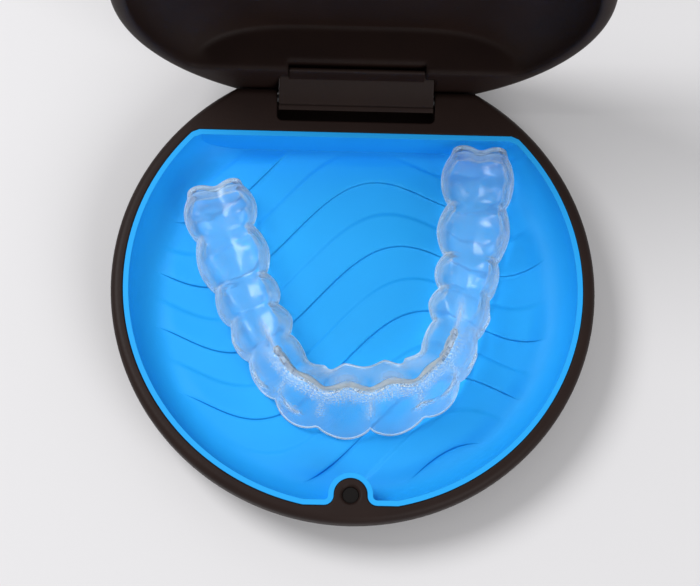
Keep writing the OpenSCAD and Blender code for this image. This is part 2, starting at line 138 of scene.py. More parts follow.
paper = bmesh.new()
bmesh.ops.create_grid(paper, x_segments=1, y_segments=1, size=FLOOR_HALF)
floor = bpy.data.objects.new("floor", bpy.data.meshes.new("floor"))
paper.to_mesh(floor.data)
paper.free()
floor.data.materials.append(floor_finish)
bpy.context.scene.collection.objects.link(floor)
print(f"floor {2 * FLOOR_HALF:.0f} m wide, in {floor_finish.name}")

# %% [markdown]
# ## Light
#
# The photograph has soft light, mostly from the upper left. A wide lamp stands high on the left
# and a little behind, a weaker one in front on the right, and the surrounding is an even white.
# Small lamps or a sun would give hard shadows, so these are round area lamps. Together they give
# about the light at which a colour shows as it is written.

# %% Light
# Place and width in metres, power in watts.
LAMPS = {
    "lamp_key": ((-0.36, 0.17, 0.54), 0.30, 2.9),
    "lamp_fill": ((0.34, -0.46, 0.42), 0.45, 2.0),
}
SURROUNDING = 0.42

for name, (place, size, watts) in LAMPS.items():
    lamp = bpy.data.objects.new(name, bpy.data.lights.new(name, "AREA"))
    lamp.data.shape = "DISK"
    lamp.data.size = size
    lamp.data.energy = watts
    lamp.location = place
    lamp.rotation_euler = Vector(place).to_track_quat("Z", "Y").to_euler()
    bpy.context.scene.collection.objects.link(lamp)

world = bpy.data.worlds.new("studio")
world.use_nodes = True
fill(world.node_tree.nodes["Background"], {"Color": srgb("#FFFFFF"), "Strength": SURROUNDING})
bpy.context.scene.world = world
print("lamps:", ", ".join(LAMPS))

# %% [markdown]
# ## Finish of the case
#
# The shells are injection-moulded ABS, dark brown to black, from a mould with a fine spark
# texture: matte, with soft grey highlights on every edge. Their browns lean to red: a painted
# cast that stands for pink light reflected onto the case. Real moulded edges are never sharp.
# Bevelled geometry would be hard to keep clean where cuts meet, so the shader rounds the edges
# with a Bevel node, and a fine noise makes the texture.

# %% Case plastic
TEXTURE_GRAIN = 0.45  # mm, a little coarser than the real texture so that it shows
TEXTURE_DEPTH = 0.05  # mm
TONE_PATCH = 9.0  # mm
EDGE_ROUND = 0.4  # mm
LID_ROUND = 1.6  # mm, the soft fillet inside the lid


def moulded_plastic(name, edge_round):
    """Matte moulded plastic with a spark texture and rounded edges."""
    made, tree, shader = material(name)
    place = add(tree, "ShaderNodeTexCoord").outputs["Object"]
    patch = add(tree, "ShaderNodeTexNoise", None, {"Vector": place, "Scale": 1 / (TONE_PATCH * MM)})
    # Own dark brown of the plastic, with a painted reddish cast of reflected pink light.
    # A Mix node has sockets of one name for every data type, so its colours go by number.
    tone = add(tree, "ShaderNodeMix", {"data_type": "RGBA"}, {
        0: patch.outputs["Fac"], 6: srgb("#1F1513"), 7: srgb("#291C18"),
    })
    grain = add(tree, "ShaderNodeTexNoise", None, {
        "Vector": place, "Scale": 1 / (TEXTURE_GRAIN * MM), "Detail": 3.0,
    })
    edge = add(tree, "ShaderNodeBevel", {"samples": 6}, {"Radius": edge_round * MM})
    bump = add(tree, "ShaderNodeBump", None, {
        "Strength": 0.5, "Distance": TEXTURE_DEPTH * MM,
        "Height": grain.outputs["Fac"], "Normal": edge.outputs["Normal"],
    })
    fill(shader, {
        "Base Color": tone.outputs[2], "Normal": bump.outputs["Normal"],
        "Roughness": 0.5, "IOR": 1.52, "Specular IOR Level": 0.14,
    })
    return made


case_plastic = moulded_plastic("dark_moulded_abs", EDGE_ROUND)
lid_plastic = moulded_plastic("dark_moulded_abs_soft_edges", LID_ROUND)
print("made", case_plastic.name, "and", lid_plastic.name)

# %% [markdown]
# ## Spinning the shells
#
# Each half of the case is a round shell with a flat back, where the hinge sits. A cylinder with
# bevelled edges would come near it, but a half section spun about the axis gives the rounded side
# and the rim in one go. The flat back and its two blunted corners are then sliced off by planes.

# %% Spun shell
SPIN_STEPS = 192
POINT_MERGE = 1e-4
CASE_R = 43.0
BASE_H = LID_H = RIM_Z
SIDE_R = 9.0
RIM_R = 1.4
BACK = 37.3
BACK_BLUNT = 0.15


def arc(x, y, r, start, end, steps):
    """Points on an arc, between two angles in degrees."""
    angles = [math.radians(start + (end - start) * i / steps) for i in range(steps + 1)]
    return [(x + r * math.cos(a), y + r * math.sin(a)) for a in angles]


def spun(section, steps=SPIN_STEPS):
    """A solid of revolution from a half section of (radius, height) points."""
    bm = bmesh.new()
    verts = [bm.verts.new((r, 0, z)) for r, z in section]
    edges = [bm.edges.new(pair) for pair in zip(verts, verts[1:])]
    bmesh.ops.spin(
        bm, geom=verts + edges, cent=(0, 0, 0), axis=(0, 0, 1),
        angle=2 * math.pi, steps=steps, use_merge=True,
    )
    bmesh.ops.remove_doubles(bm, verts=bm.verts, dist=POINT_MERGE)
    bmesh.ops.recalc_face_normals(bm, faces=bm.faces)
    return bm


def sliced(bm, normal, reach):
    """Cuts off what lies further than reach along normal, and closes the cut."""
    normal = Vector(normal).normalized()
    cut = bmesh.ops.bisect_plane(
        bm, geom=bm.verts[:] + bm.edges[:] + bm.faces[:],
        plane_co=normal * reach, plane_no=normal, clear_outer=True,
    )
    edges = [e for e in cut["geom_cut"] if isinstance(e, bmesh.types.BMEdge)]
    bmesh.ops.contextual_create(bm, geom=edges)
    return bm


def backed(bm, r, back, blunt):
    """Slices a flat back with two blunted corners off a round shape."""
    turn = math.acos(back / r) / 2
    corner = r * math.cos(turn) - blunt
    sliced(bm, (0, 1, 0), back)
    sliced(bm, (math.sin(turn), math.cos(turn), 0), corner)
    return sliced(bm, (-math.sin(turn), math.cos(turn), 0), corner)


def shell(height):
    """Outside of a shell, standing on its rounded face."""
    section = [(0, 0)]
    section += arc(CASE_R - SIDE_R, SIDE_R, SIDE_R, -90, 0, 20)
    section += arc(CASE_R - RIM_R, height - RIM_R, RIM_R, 0, 90, 8)
    section += [(0, height)]
    return backed(spun(section), CASE_R, BACK, BACK_BLUNT)


print(f"shells {2 * CASE_R:.0f} mm across and {BASE_H:.0f} mm high, back at {BACK} mm")

# %% [markdown]
# ## Cutting the shells
#
# The recess, the magnet hole and the hinge pocket are hollows of a moulded shell. They could be
# pushed in with insets, but their edges cross one another. So each hollow is a closed shape of its
# own, spun or extruded, and a Boolean modifier takes it out, which keeps every surface clean.

# %% Cutting shapes
OVER = 1.0  # how far a cut reaches past the surface that it opens
BEYOND = CASE_R + OVER
CUT_MERGE = 0.002
ACROSS = Matrix(((0, 0, 1, 0), (1, 0, 0, 0), (0, 1, 0, 0), (0, 0, 0, 1)))  # up becomes along X


def prism(outline, low, high):
    """An upright solid on a flat outline."""
    bm = bmesh.new()
    face = bm.faces.new([bm.verts.new((x, y, low)) for x, y in outline])
    top = bmesh.ops.extrude_face_region(bm, geom=[face])["geom"]
    raised = [v for v in top if isinstance(v, bmesh.types.BMVert)]
    bmesh.ops.translate(bm, verts=raised, vec=(0, 0, high - low))
    bmesh.ops.recalc_face_normals(bm, faces=bm.faces)
    return bm


def across(outline, low, high):
    """A solid along X on an outline of (y, z) points."""
    bm = prism(outline, low, high)
    bmesh.ops.transform(bm, matrix=ACROSS, verts=bm.verts)
    return bm


def moved(bm, vec):
    """The same shape, shifted."""
    bmesh.ops.translate(bm, verts=bm.verts, vec=vec)
    return bm


def boolean(operation, bm, *tools):
    """Takes the tools out of a shape, or adds them to it."""
    made = []
    for shape in (bm, *tools):
        obj = bpy.data.objects.new("cut", bpy.data.meshes.new("cut"))
        shape.to_mesh(obj.data)
        shape.free()
        bpy.context.scene.collection.objects.link(obj)
        made.append(obj)
    for tool in made[1:]:
        step = made[0].modifiers.new("cut", "BOOLEAN")
        step.operation = operation
        step.solver = "EXACT"
        step.object = tool
    result = bmesh.new()
    result.from_object(made[0], bpy.context.evaluated_depsgraph_get())
    for obj in made:
        mesh = obj.data
        bpy.data.objects.remove(obj)
        bpy.data.meshes.remove(mesh)
    bmesh.ops.remove_doubles(result, verts=result.verts, dist=CUT_MERGE)
    return result


print(f"cuts reach {OVER:.0f} mm past the surface that they open")

# %% [markdown]
# ## From a shape to a piece
#
# So far a shape is only points in millimetres. To become a piece it is scaled to metres, put into
# a mesh with its finish, and shaded smooth except across sharp edges. It is then tied to the body
# that it rides on, and the CAD node that it stands for is hidden. One function does all of this,
# so that no piece can miss a step.

# %% Finished piece
SHARP = 35  # degrees


def finished(name, bm, finish, body, node, sharp=SHARP):
    """Makes a shape into a piece that stands for a CAD node."""
    bmesh.ops.scale(bm, vec=(MM, MM, MM), verts=bm.verts)
    mesh = bpy.data.meshes.new(name)
    bm.to_mesh(mesh)
    bm.free()
    mesh.materials.append(finish)
    mesh.polygons.foreach_set("use_smooth", [True] * len(mesh.polygons))
    mesh.set_sharp_from_angle(angle=math.radians(sharp))
    obj = bpy.data.objects.new(name, mesh)
    bpy.context.scene.collection.objects.link(obj)
    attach(obj, body)
    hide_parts(node)
    print(f"{name}: {len(mesh.polygons)} faces")
    return obj


print(f"edges of more than {SHARP} degrees stay sharp")

# %% [markdown]
# ## Hollows of the base
#
# The base has a bowl-shaped recess for the liner. At the front a boss with a hole for the magnet
# stands into it, and flares run from the boss out into the rim. The bowl and the hole are spun like
# the shell. The boss isn't round, so half of its outline is drawn with arcs, mirrored and extruded.

# %% Hollows of the base
BOWL_STEPS = 18
MAGNET_Y = 38.0
MAGNET_HOLE_R, MAGNET_HOLE_DEPTH, MAGNET_CHAMFER = 1.45, 2.6, 0.4
BOSS_R, FLARE_R = 2.85, 1.8
BOSS_LOW, BOSS_HIGH = -10, 3
RECESS_R, RECESS_SIDE, RECESS_DEPTH = 40.85, 6.95, 8.7
RECESS_BACK, RECESS_FRONT, RECESS_BLUNT = 28.75, 40.0, 0.3


def bowl(r, side, depth, top, floor_steps=1, steps=SPIN_STEPS):
    """A bowl shape hanging below height 0: a curved side and a flat floor."""
    curve = [
        (r - side + side * math.cos(a), -depth * math.sin(a))
        for a in (math.pi / 2 * i / BOWL_STEPS for i in range(BOWL_STEPS + 1))
    ]
    floor = [((r - side) * (1 - i / floor_steps), -depth) for i in range(1, floor_steps + 1)]
    return spun([(0, top), (r, top)] + curve + floor, steps)


def trimmed(bm, inset):
    """Gives a bowl the flat back and front of the recess, set in from them."""
    backed(bm, RECESS_R - inset, RECESS_BACK - inset, RECESS_BLUNT)
    return sliced(bm, (0, -1, 0), RECESS_FRONT - inset)


def boss(grow, front):
    """The magnet's boss: a round end and flares that run out into the rim."""
    r = BOSS_R + grow
    flare = FLARE_R - grow
    half = [(r + flare, -BEYOND)]
    half += arc(r + flare, -front + flare, flare, 270, 180, 8)
    half += arc(0, -MAGNET_Y, r, 0, 90, 12)
    return prism(half + [(-x, y) for x, y in reversed(half[:-1])], BOSS_LOW, BOSS_HIGH)


def magnet_hole(top):
    """A round hole with a small chamfer at its mouth."""
    r, deep, mouth_r = MAGNET_HOLE_R, -MAGNET_HOLE_DEPTH, MAGNET_HOLE_R + MAGNET_CHAMFER
    section = [(0, deep), (r, deep), (r, -MAGNET_CHAMFER)]
    section += [(mouth_r, 0), (mouth_r, OVER), (0, OVER)]
    return moved(spun(section, 48), (0, -MAGNET_Y, top))


recess = trimmed(bowl(RECESS_R, RECESS_SIDE, RECESS_DEPTH, OVER), 0)
recess = boolean("DIFFERENCE", recess, boss(0, RECESS_FRONT))
print(f"recess {RECESS_DEPTH} mm deep, {len(recess.faces)} faces")

# %% [markdown]
# ## Base shell
#
# The base shell carries all the rest. Behind the recess it has a pocket for the hinge knuckle, a
# rolled edge about the hinge axis that leaves the lid room to turn, and a hole for the pin from the
# right-hand side. The pocket stands upright, while the rolled edge and the pin's hole run across
# the case, so their outlines are drawn from the side.

# %% Base shell
HINGE = Vector((0, 35.5, 9.2))
ROLL_R = 1.8
POCKET_HALF, POCKET_FRONT, POCKET_FLOOR, POCKET_CORNER = 14.3, 30.75, 5.7, 1.0
BASE_PIN_HOLE_R, PIN_HOLE_END = 0.91, -17.8
PIN_HOLE_SIDES = 24


def pin_hole(r, low, high):
    """A round bar along the hinge axis."""
    last = 360 - 360 / PIN_HOLE_SIDES
    return across(arc(HINGE.y, HINGE.z, r, 0, last, PIN_HOLE_SIDES - 1), low, high)


corner_x, corner_y = POCKET_HALF - POCKET_CORNER, POCKET_FRONT + POCKET_CORNER
pocket = arc(-corner_x, corner_y, POCKET_CORNER, 180, 270, 6)
pocket += arc(corner_x, corner_y, POCKET_CORNER, 270, 360, 6)
pocket += [(POCKET_HALF, BEYOND), (-POCKET_HALF, BEYOND)]
rolled_edge = arc(HINGE.y, HINGE.z, ROLL_R, 90, 0, 12)
rolled_edge += [(BEYOND, HINGE.z), (BEYOND, BASE_H + OVER), (HINGE.y, BASE_H + OVER)]
base = boolean(
    "DIFFERENCE",
    shell(BASE_H),
    moved(recess, (0, 0, BASE_H)),
    magnet_hole(BASE_H),
    prism(pocket, POCKET_FLOOR, BASE_H + OVER),
    across(rolled_edge, -BEYOND, BEYOND),
    pin_hole(BASE_PIN_HOLE_R, PIN_HOLE_END, BEYOND),
)
finished("base_case", base, case_plastic, "base", "base_shell")

# %% [markdown]
# ## Lid shell
#
# The lid is a second shell of the same outside, with a softer hollow and a slot for the knuckle.
# It could be drawn standing open, but every section would then be tilted. So it is drawn like the
# base, rim up, then mirrored down onto the base and swung open about the hinge axis.

# %% Lid shell
LID_RIM_Z = 11.3
OPEN_ANGLE = 92.7
HOLLOW_R, HOLLOW_SIDE, HOLLOW_DEPTH = 40.2, 12, 8.8
HOLLOW_BACK, HOLLOW_BLUNT = 27.3, 0.4
KNUCKLE_HALF, KNUCKLE_FRONT, KNUCKLE_IN, KNUCKLE_GAP = 14.0, 30.2, 3, 0.05
TONGUE_SLOT_HALF, TONGUE_SLOT_FRONT, TONGUE_SLOT_BACK, TONGUE_SLOT_IN = 12.4, 26.3, 31.15, 1.75
OPENED = (
    Matrix.Translation(HINGE)
    @ Matrix.Rotation(math.radians(-OPEN_ANGLE), 4, "X")
    @ Matrix.Translation(-HINGE)
)
UPSIDE_DOWN = Matrix.Translation((0, 0, LID_RIM_Z + LID_H)) @ Matrix.Scale(-1, 4, (0, 0, 1))


def rim_slot(half, front, back, deep):
    """A slot in the lid's rim."""
    outline = [(-half, front), (half, front), (half, back), (-half, back)]
    return prism(outline, LID_H - deep, LID_H + OVER)


hollow = bowl(HOLLOW_R, HOLLOW_SIDE, HOLLOW_DEPTH, OVER)
backed(hollow, HOLLOW_R, HOLLOW_BACK, HOLLOW_BLUNT)
hollow = boolean("DIFFERENCE", hollow, boss(0, HOLLOW_R))
lid = boolean(
    "DIFFERENCE",
    shell(LID_H),
    moved(hollow, (0, 0, LID_H)),
    magnet_hole(LID_H),
    rim_slot(KNUCKLE_HALF + KNUCKLE_GAP, KNUCKLE_FRONT - KNUCKLE_GAP, BEYOND, KNUCKLE_IN),
    rim_slot(TONGUE_SLOT_HALF, TONGUE_SLOT_FRONT, TONGUE_SLOT_BACK, TONGUE_SLOT_IN),
)
bmesh.ops.transform(lid, matrix=OPENED @ UPSIDE_DOWN, verts=lid.verts)
bmesh.ops.reverse_faces(lid, faces=lid.faces)
finished("lid_case", lid, lid_plastic, "lid", "lid_shell")

# %% [markdown]
# ## Hinge knuckle
#
# The knuckle is the bar in the lid that turns on the pin. Its face is dished, with a fine line near
# the lower edge, and a thin tongue reaches into a slot of the lid. A scaled cube would need many
# cuts to get there. The bar is the same from end to end, so its section is drawn from the side and
# pulled across the case, and so is the tongue's.

# %% Hinge knuckle
TONGUE_HALF, TONGUE_T, TONGUE_FRONT, TONGUE_BACK = 12.2, 0.9, 27.8, 31.2
FACE_TOP = Vector((KNUCKLE_FRONT, LID_RIM_Z + TONGUE_T))
FACE_LOW = Vector((33.8, 6.4))
FACE_STEPS = 12
DISH = 0.45
FINE_LINE = {0.84: 0.0, 0.86: 0.25, 0.88: 0.0}  # its depth, by the share of the way down the face
KNUCKLE_PIN_HOLE_R, KNUCKLE_PIN_HOLE_HALF = 0.95, 20

along = FACE_LOW - FACE_TOP
dish_in = Vector((-along.y, along.x)) / along.length
section = [
    tuple(FACE_TOP + along * t + dish_in * (4 * DISH * t * (1 - t) + FINE_LINE.get(t, 0)))
    for t in sorted({i / FACE_STEPS for i in range(FACE_STEPS + 1)} | set(FINE_LINE))
]
section += arc(HINGE.y, HINGE.z, ROLL_R, -90, 0, 10)
section += [(BACK, LID_RIM_Z + KNUCKLE_IN), (FACE_TOP.x, LID_RIM_Z + KNUCKLE_IN)]
tip_r = TONGUE_T / 2
tongue = [(TONGUE_BACK, LID_RIM_Z + TONGUE_T)]
tongue += arc(TONGUE_FRONT + tip_r, LID_RIM_Z + tip_r, tip_r, 90, 270, 8)
tongue += [(TONGUE_BACK, LID_RIM_Z)]
knuckle = boolean(
    "UNION",
    across(section, -KNUCKLE_HALF, KNUCKLE_HALF),
    across(tongue, -TONGUE_HALF, TONGUE_HALF),
)
bore = pin_hole(KNUCKLE_PIN_HOLE_R, -KNUCKLE_PIN_HOLE_HALF, KNUCKLE_PIN_HOLE_HALF)
knuckle = boolean("DIFFERENCE", knuckle, bore)
bmesh.ops.transform(knuckle, matrix=OPENED, verts=knuckle.verts)
finished("hinge_bar", knuckle, case_plastic, "lid", "hinge_knuckle")

# %% [markdown]
# ## Silicone of the liner
#
# The liner is moulded silicone, bright blue and matte. Light goes a little way into real silicone,
# and subsurface scattering could show that, but this one is strongly coloured and looks opaque. A
# rough surface with a weak gloss is enough, with two close blues in soft clouds and a fine grain.

# %% Liner silicone
SKIN_GRAIN, SKIN_DEPTH = 0.35, 0.02  # mm
CLOUD = 14.0  # mm
LIP_ROUND = 0.15  # mm

silicone, tree, shader = material("blue_moulded_silicone")
place = add(tree, "ShaderNodeTexCoord").outputs["Object"]
cloud = add(tree, "ShaderNodeTexNoise", None, {"Vector": place, "Scale": 1 / (CLOUD * MM)})
tone = add(tree, "ShaderNodeMix", {"data_type": "RGBA"}, {
    0: cloud.outputs["Fac"], 6: srgb("#1CA1F1"), 7: srgb("#21AAF7"),
})
grain = add(tree, "ShaderNodeTexNoise", None, {"Vector": place, "Scale": 1 / (SKIN_GRAIN * MM)})
edge = add(tree, "ShaderNodeBevel", {"samples": 6}, {"Radius": LIP_ROUND * MM})
bump = add(tree, "ShaderNodeBump", None, {
    "Strength": 0.15, "Distance": SKIN_DEPTH * MM,
    "Height": grain.outputs["Fac"], "Normal": edge.outputs["Normal"],
})
fill(shader, {
    "Base Color": tone.outputs[2], "Roughness": 0.6, "IOR": 1.41, "Specular IOR Level": 0.35,
})
print("made", silicone.name)

# %% [markdown]
# ## Crisp edges of the ripples
#
# Wavy raised bands run across the liner's floor, each with a crisp edge towards the front. The mesh
# will carry the bands, but a mesh fine enough for that edge would be very heavy. So the shader adds
# it as relief. It reads two attributes of the points: "band" counts the edges across the floor,
# and "band_rise" is 1 where there are bands.

# %% Crisp edges
CRISP_EDGE = 0.022  # half width of the edge, as a share of the distance between two edges
CRISP_H = 0.35  # mm

band = add(tree, "ShaderNodeAttribute", {"attribute_name": "band"})
band_rise = add(tree, "ShaderNodeAttribute", {"attribute_name": "band_rise"})
half_turns = add(tree, "ShaderNodeMath", {"operation": "MULTIPLY"}, {
    0: band.outputs["Fac"], 1: math.pi,
})
wave = add(tree, "ShaderNodeMath", {"operation": "SINE"}, {0: half_turns.outputs["Value"]})
step = add(tree, "ShaderNodeMapRange", {"interpolation_type": "SMOOTHSTEP"}, {
    "Value": wave.outputs["Value"],
    "From Min": -math.sin(math.pi * CRISP_EDGE), "From Max": math.sin(math.pi * CRISP_EDGE),
})
turn = add(tree, "ShaderNodeMath", {"operation": "COSINE"}, {0: half_turns.outputs["Value"]})
slope = add(tree, "ShaderNodeMapRange", None, {"Value": turn.outputs["Value"], "From Min": -1.0})
ramp = add(tree, "ShaderNodeMath", {"operation": "MULTIPLY"}, {
    0: step.outputs["Result"], 1: slope.outputs["Result"],
})
crisp = add(tree, "ShaderNodeMath", {"operation": "MULTIPLY"}, {
    0: ramp.outputs["Value"], 1: band_rise.outputs["Fac"],
})
relief = add(tree, "ShaderNodeBump", None, {
    "Distance": CRISP_H * MM, "Height": crisp.outputs["Value"], "Normal": bump.outputs["Normal"],
})
fill(shader, {"Normal": relief.outputs["Normal"]})
print(f"relief of {CRISP_H} mm on the front edges")

# %% [markdown]
# ## Ripples
#
# The bands could be drawn as curves with a profile and joined to the floor. A formula is simpler,
# and it can be asked at any place, so that the mesh and the shader agree. Each edge of a band is a
# wave that climbs to the right and drifts a little from one edge to the next. The bands run out
# near the side and the back.

# %% Ripples
RIPPLE_H = 0.4
RIPPLE_PITCH, RIPPLE_AMP, RIPPLE_WAVE, RIPPLE_SLOPE = 6.8, 6.0, 48.0, 0.32
RIPPLE_MID, RIPPLE_START, RIPPLE_DRIFT = 1.3, 0.132, 0.048
# Half width of a band's edge, as a share of the pitch: steep towards the front, gentler at the back
RIPPLE_FRONT, RIPPLE_LEE = 0.03, 0.06
DRIFT_ROUNDS = 8  # enough for the drift to settle
LINER_GAP = 0.1
FLOOR_R = RECESS_R - LINER_GAP - RECESS_SIDE
# Where the bands start to run out and where they have gone: from the axis, and towards the back
OUT_AT_SIDE = (FLOOR_R - 2, FLOOR_R + 2.5)
OUT_AT_BACK = (24.5, 27.5)


def smooth(t):
    """Eases a value between 0 and 1, and holds it there."""
    t = min(1, max(0, t))
    return t * t * (3 - 2 * t)


def fade(value, start, end):
    """Runs from 1 at start to 0 at end."""
    return smooth((value - end) / (start - end))


def band_at(x, y):
    """How many band edges lie in front of a place on the floor, counted from the middle."""
    k = 0.0
    for _ in range(DRIFT_ROUNDS):
        wave = math.sin(2 * math.pi * (x / RIPPLE_WAVE + RIPPLE_START + k * RIPPLE_DRIFT))
        k = (y - RIPPLE_MID - RIPPLE_SLOPE * x - RIPPLE_AMP * wave) / RIPPLE_PITCH
    return k


def ripple(x, y):
    """Share of the ripple's height at a place on the floor."""
    turn = math.pi * band_at(x, y)
    half_edge = RIPPLE_FRONT + (RIPPLE_LEE - RIPPLE_FRONT) * (1 - math.cos(turn)) / 2
    edge = math.sin(turn) / math.sin(math.pi * half_edge)
    return smooth(0.5 + edge / 2)


def rise_at(co):
    """How far the bands stand up at a place."""
    return fade(math.hypot(co.x, co.y), *OUT_AT_SIDE) * fade(co.y, *OUT_AT_BACK)


print(f"ripples {RIPPLE_H} mm high, an edge every {RIPPLE_PITCH} mm")

# %% [markdown]
# ## Liner
#
# The liner is a soft bowl with an even wall that fits the recess with a small gap. A Displace
# modifier could raise the ripples, but it would need a texture and move the lip too. So the inside
# is spun with a dense floor, its points are lifted by the formula, and it is then taken out of the
# spun outside. The two attributes for the shader are written last, on the points that are left.

# %% Liner
LINER_WALL, LINER_FLOOR_T = 0.95, 1.2
FLOOR_ROWS, FLOOR_STEPS = 100, 480

outside_depth = RECESS_DEPTH - LINER_GAP
inset = LINER_GAP + LINER_WALL
inside = bowl(
    RECESS_R - inset, RECESS_SIDE - LINER_WALL, outside_depth - LINER_FLOOR_T, OVER,
    floor_steps=FLOOR_ROWS, steps=FLOOR_STEPS,
)
for vert in inside.verts:
    if vert.co.z < 0:
        vert.co.z += RIPPLE_H * rise_at(vert.co) * ripple(vert.co.x, vert.co.y)
inside = boolean("DIFFERENCE", trimmed(inside, inset), boss(inset, RECESS_FRONT - inset))
outside = trimmed(bowl(RECESS_R - LINER_GAP, RECESS_SIDE, outside_depth, 0), LINER_GAP)
liner = boolean("DIFFERENCE", outside, inside, boss(LINER_GAP, RECESS_FRONT - LINER_GAP))

band_layer = liner.verts.layers.float.new("band")
band_rise_layer = liner.verts.layers.float.new("band_rise")
for vert in liner.verts:
    vert[band_layer] = band_at(vert.co.x, vert.co.y)
    vert[band_rise_layer] = rise_at(vert.co)
moved(liner, (0, 0, BASE_H))
finished("liner", liner, silicone, "base", "base_liner")

# %% [markdown]
# ## Arch of the teeth
#
# The tray is one sheet of clear plastic, formed hot over a model of the teeth and trimmed along the
# gums. Seen from above, the teeth stand along an arch. A curve object could be drawn for it, but a
# power curve needs only the arch's real width and depth. Its length is measured in small steps, so
# that a place can be given by its distance along the arch.

# %% Arch of the teeth
ARCH_HALF_W, ARCH_DEPTH, ARCH_POWER = 24.29, 42.7, 3.5
ARCH_REACH, ARCH_STEPS = 1.06, 400  # the curve is measured a little past the half width
LOOK_ALONG = 0.2


def between(x, xs, ys):
    """A value read off a line through points, flat beyond its ends."""
    if x <= xs[0]:
        return ys[0]
    for x0, x1, y0, y1 in zip(xs, xs[1:], ys, ys[1:]):
        if x <= x1:
            return y0 + (y1 - y0) * (x - x0) / (x1 - x0)
    return ys[-1]


def arch_y(x):
    """How far back the arch lies at a distance from its middle."""
    return ARCH_DEPTH * (abs(x) / ARCH_HALF_W) ** ARCH_POWER


ARCH_X = [ARCH_REACH * ARCH_HALF_W * math.sqrt(i / ARCH_STEPS) for i in range(ARCH_STEPS + 1)]
ARCH_RUN = [0.0]
for a, b in zip(ARCH_X, ARCH_X[1:]):
    ARCH_RUN.append(ARCH_RUN[-1] + math.hypot(b - a, arch_y(b) - arch_y(a)))


def arch_point(s):
    """The place at a length along the arch, which is negative on the left."""
    x = between(abs(s), ARCH_RUN, ARCH_X)
    return Vector((math.copysign(x, s), arch_y(x)))


def arch_out(s):
    """The direction out of the arch, square to it."""
    d = (arch_point(s + LOOK_ALONG) - arch_point(s - LOOK_ALONG)).normalized()
    return Vector((d.y, -d.x))


print(f"arch measured over {ARCH_RUN[-1]:.1f} mm a side")

# %% [markdown]
# ## Row of teeth
#
# Each side has seven teeth, from the front tooth to the second molar. Every tooth could be modelled
# alone, but the sheet only shows its outside. So a tooth is its width and a few points of its
# section, and what lies between two teeth is blended. The left teeth are a little narrower than the
# right ones, and on the left the tray ends part of the way over the last molar.

# %% Row of teeth
# Width of each tooth from the front to the back, and points of its section as distance out
# from the arch and height: edge, bulge and shoulder outside, groove, and the same inside.
TEETH = [
    (8.3, [(5.6, 0), (3.5, 6), (1.3, 11.4), (0.6, 11.6), (-0.2, 11.2), (-3, 7.4), (-5.9, 4)]),
    (6.7, [(5, 0), (3.3, 5.8), (1.3, 10.8), (0.6, 11), (-0.2, 10.6), (-2.8, 7), (-4.8, 3.6)]),
    (7.6, [(4.4, 0), (3.5, 5.4), (1.5, 10.2), (0.4, 10.4), (-0.8, 10), (-3.6, 6.2), (-3.9, 2.6)]),
    (7, [(4.5, 0), (4.2, 4.6), (2.7, 9), (0, 8.3), (-3.1, 8.6), (-5, 4.8), (-4.6, 1.4)]),
    (6.8, [(4.8, 0), (4.7, 4.2), (3.2, 8.2), (0, 7.4), (-3.2, 8), (-5, 4.2), (-4.8, 0.9)]),
    (10.3, [(5.6, 0), (5.7, 3.8), (4.1, 7.5), (0, 6.3), (-4, 7.3), (-5.7, 3.8), (-5.5, 0.6)]),
    (9.8, [(5.5, 0.9), (5.7, 3.9), (4.2, 7), (0, 5.9), (-4.1, 6.8), (-5.8, 3.8), (-5.5, 0.8)]),
]
ENDS = [sum(w for w, _ in TEETH[:i]) for i in range(len(TEETH) + 1)]
MIDS = [(a + b) / 2 for a, b in zip(ENDS, ENDS[1:])]
SIDE_LEN = ENDS[-1]
LEFT_TEETH, RIGHT_TEETH = 0.945, 0.975  # width of the teeth of a side, as a share of the table's
LEFT_END, RIGHT_END = 8.4, 9.8  # how much of the last molar's width is covered
FULLNESS = 0.7


def covered(s):
    """Length along the arch: each side has its own width of teeth and cover of the last one."""
    beyond = max(0, abs(s) - ENDS[-2]) * (LEFT_END if s < 0 else RIGHT_END) / TEETH[-1][0]
    run = min(abs(s), ENDS[-2]) + beyond
    return math.copysign(run * (LEFT_TEETH if s < 0 else RIGHT_TEETH), s)


def tooth_at(run):
    """Number of the tooth at a length along the teeth."""
    return max(i for i in range(len(TEETH)) if run >= ENDS[i])


def swelling(run):
    """How far a tooth swells at a length along it: 0 between two teeth, 1 at the middle."""
    if run >= MIDS[-1]:
        return 1.0
    tooth = tooth_at(run)
    return max(0, math.sin(math.pi * (run - ENDS[tooth]) / TEETH[tooth][0])) ** FULLNESS


print(f"{len(TEETH)} teeth a side, {SIDE_LEN:.1f} mm along the teeth")

# %% [markdown]
# ## Section of the sheet
#
# Across the arch the sheet is bent over the teeth: a narrow ridge at the front, a wide grooved top
# at the molars. It pinches in between two teeth, its edges are scalloped like the gums, and at the
# ends it narrows and its edges rise. Sculpting would give a freer shape, but here each of these is
# one number, and a smooth curve through seven points makes the section at any place.

# %% Section of the sheet
OUTER_PINCH, INNER_PINCH = 0.23, 0.31
FRONT_CALM = 0.3  # how much less the inner edge waves at the front
SCALLOP, CUSP, DIP, RIDGE_WAVE = 1.5, 0.45, 0.7, 0.55
CALM_OUT, RIDGE_WAVE_OUT = (14, 22), (2, 22)  # lengths along the teeth where these run out
END_RUN, END_RISE, END_CURL = 4.5, 1.9, 0.7
CUSPS_FROM, CUSPS_FULL = MIDS[3], MIDS[5]  # from the first premolar to the first molar
EDGE_SHARE = (1, 0.5, 0, 0, 0, 0.5, 1)  # how far each point follows the scalloped edge
TOP, GROOVE = (2, 3, 4), 3  # numbers of the points of the top, and of the one in the groove
WALL = 0.8
CURVE_STEP = 0.02


